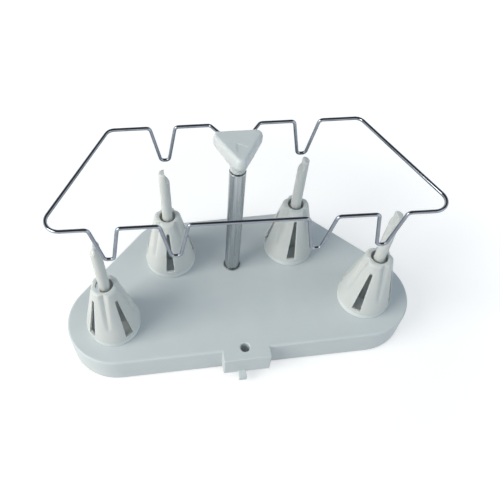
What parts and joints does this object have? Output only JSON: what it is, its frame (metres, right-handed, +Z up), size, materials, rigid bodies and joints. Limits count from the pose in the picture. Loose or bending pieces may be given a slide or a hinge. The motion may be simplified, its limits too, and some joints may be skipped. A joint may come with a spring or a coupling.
{
  "type": "thread spool stand",
  "caption": "Flat plastic stand with upright spool pins, hollow cones over them and a telescopic post that carries a notched wire thread guide.",
  "frame": {"origin": "middle of the footprint, on the surface that the feet stand on", "axes": "+X to the stand's right seen from its front tab, +Y to the back, +Z up along the post"},
  "size_m": [0.2678, 0.1412, 0.1614],
  "materials": {
    "base_plastic": "satin pale grey-green moulding",
    "pale_plastic": "satin off-white moulding",
    "foot_rubber": "matt black",
    "tube_metal": "drawn and plated",
    "wire_metal": "bright plated",
    "screw_metal": "zinc plated",
    "bush_plastic": "plain dark moulding"
  },
  "bodies": {
    "stand": {"base": "base_plastic", "post_outer_tube": "tube_metal", "post_foot_ring": "tube_metal", "post_plug": "bush_plastic", "post_screw": "screw_metal", "foot_front_left": "foot_rubber", "spool_pin_front_left": "pale_plastic", "pin_screw_front_left": "screw_metal", "seat_disc_front_left": "base_plastic", "foot_front_right": "foot_rubber", "spool_pin_front_right": "pale_plastic", "pin_screw_front_right": "screw_metal", "seat_disc_front_right": "base_plastic", "foot_back_left": "foot_rubber", "spool_pin_back_left": "pale_plastic", "pin_screw_back_left": "screw_metal", "seat_disc_back_left": "base_plastic", "foot_back_right": "foot_rubber", "spool_pin_back_right": "pale_plastic", "pin_screw_back_right": "screw_metal", "seat_disc_back_right": "base_plastic"},
    "middle": {"post_middle_tube": "tube_metal", "middle_tube_bush": "bush_plastic"},
    "rod": {"post_inner_rod": "tube_metal", "inner_rod_bush": "bush_plastic"},
    "guide": {"guide_head": "pale_plastic", "wire_guide": "wire_metal"},
    "cone_front_left": {"spool_cone_front_left": "pale_plastic"},
    "cone_front_right": {"spool_cone_front_right": "pale_plastic"},
    "cone_back_left": {"spool_cone_back_left": "pale_plastic"},
    "cone_back_right": {"spool_cone_back_right": "pale_plastic"}
  },
  "joints": [
    {"name": "middle_extend", "type": "slide", "parent": "stand", "child": "middle", "axis": [0, 0, 1], "range_m": [0, 0.095]},
    {"name": "rod_extend", "type": "slide", "parent": "middle", "child": "rod", "axis": [0, 0, 1], "range_m": [0, 0.09]},
    {"name": "guide_swivel", "type": "hinge", "parent": "rod", "child": "guide", "pos_m": [0, 0.0214, 0.15], "axis": [0, 0, 1], "range_deg": [-2.8, 10]},
    {"name": "cone_turn_front_left", "type": "hinge", "parent": "stand", "child": "cone_front_left", "pos_m": [-0.0975, -0.0222, 0.0323], "axis": [0, 0, 1], "continuous": true},
    {"name": "cone_turn_front_right", "type": "hinge", "parent": "stand", "child": "cone_front_right", "pos_m": [0.0975, -0.0222, 0.0323], "axis": [0, 0, 1], "continuous": true},
    {"name": "cone_turn_back_left", "type": "hinge", "parent": "stand", "child": "cone_back_left", "pos_m": [-0.0492, 0.0336, 0.0323], "axis": [0, 0, 1], "continuous": true},
    {"name": "cone_turn_back_right", "type": "hinge", "parent": "stand", "child": "cone_back_right", "pos_m": [0.0492, 0.0336, 0.0323], "axis": [0, 0, 1], "continuous": true}
  ]
}
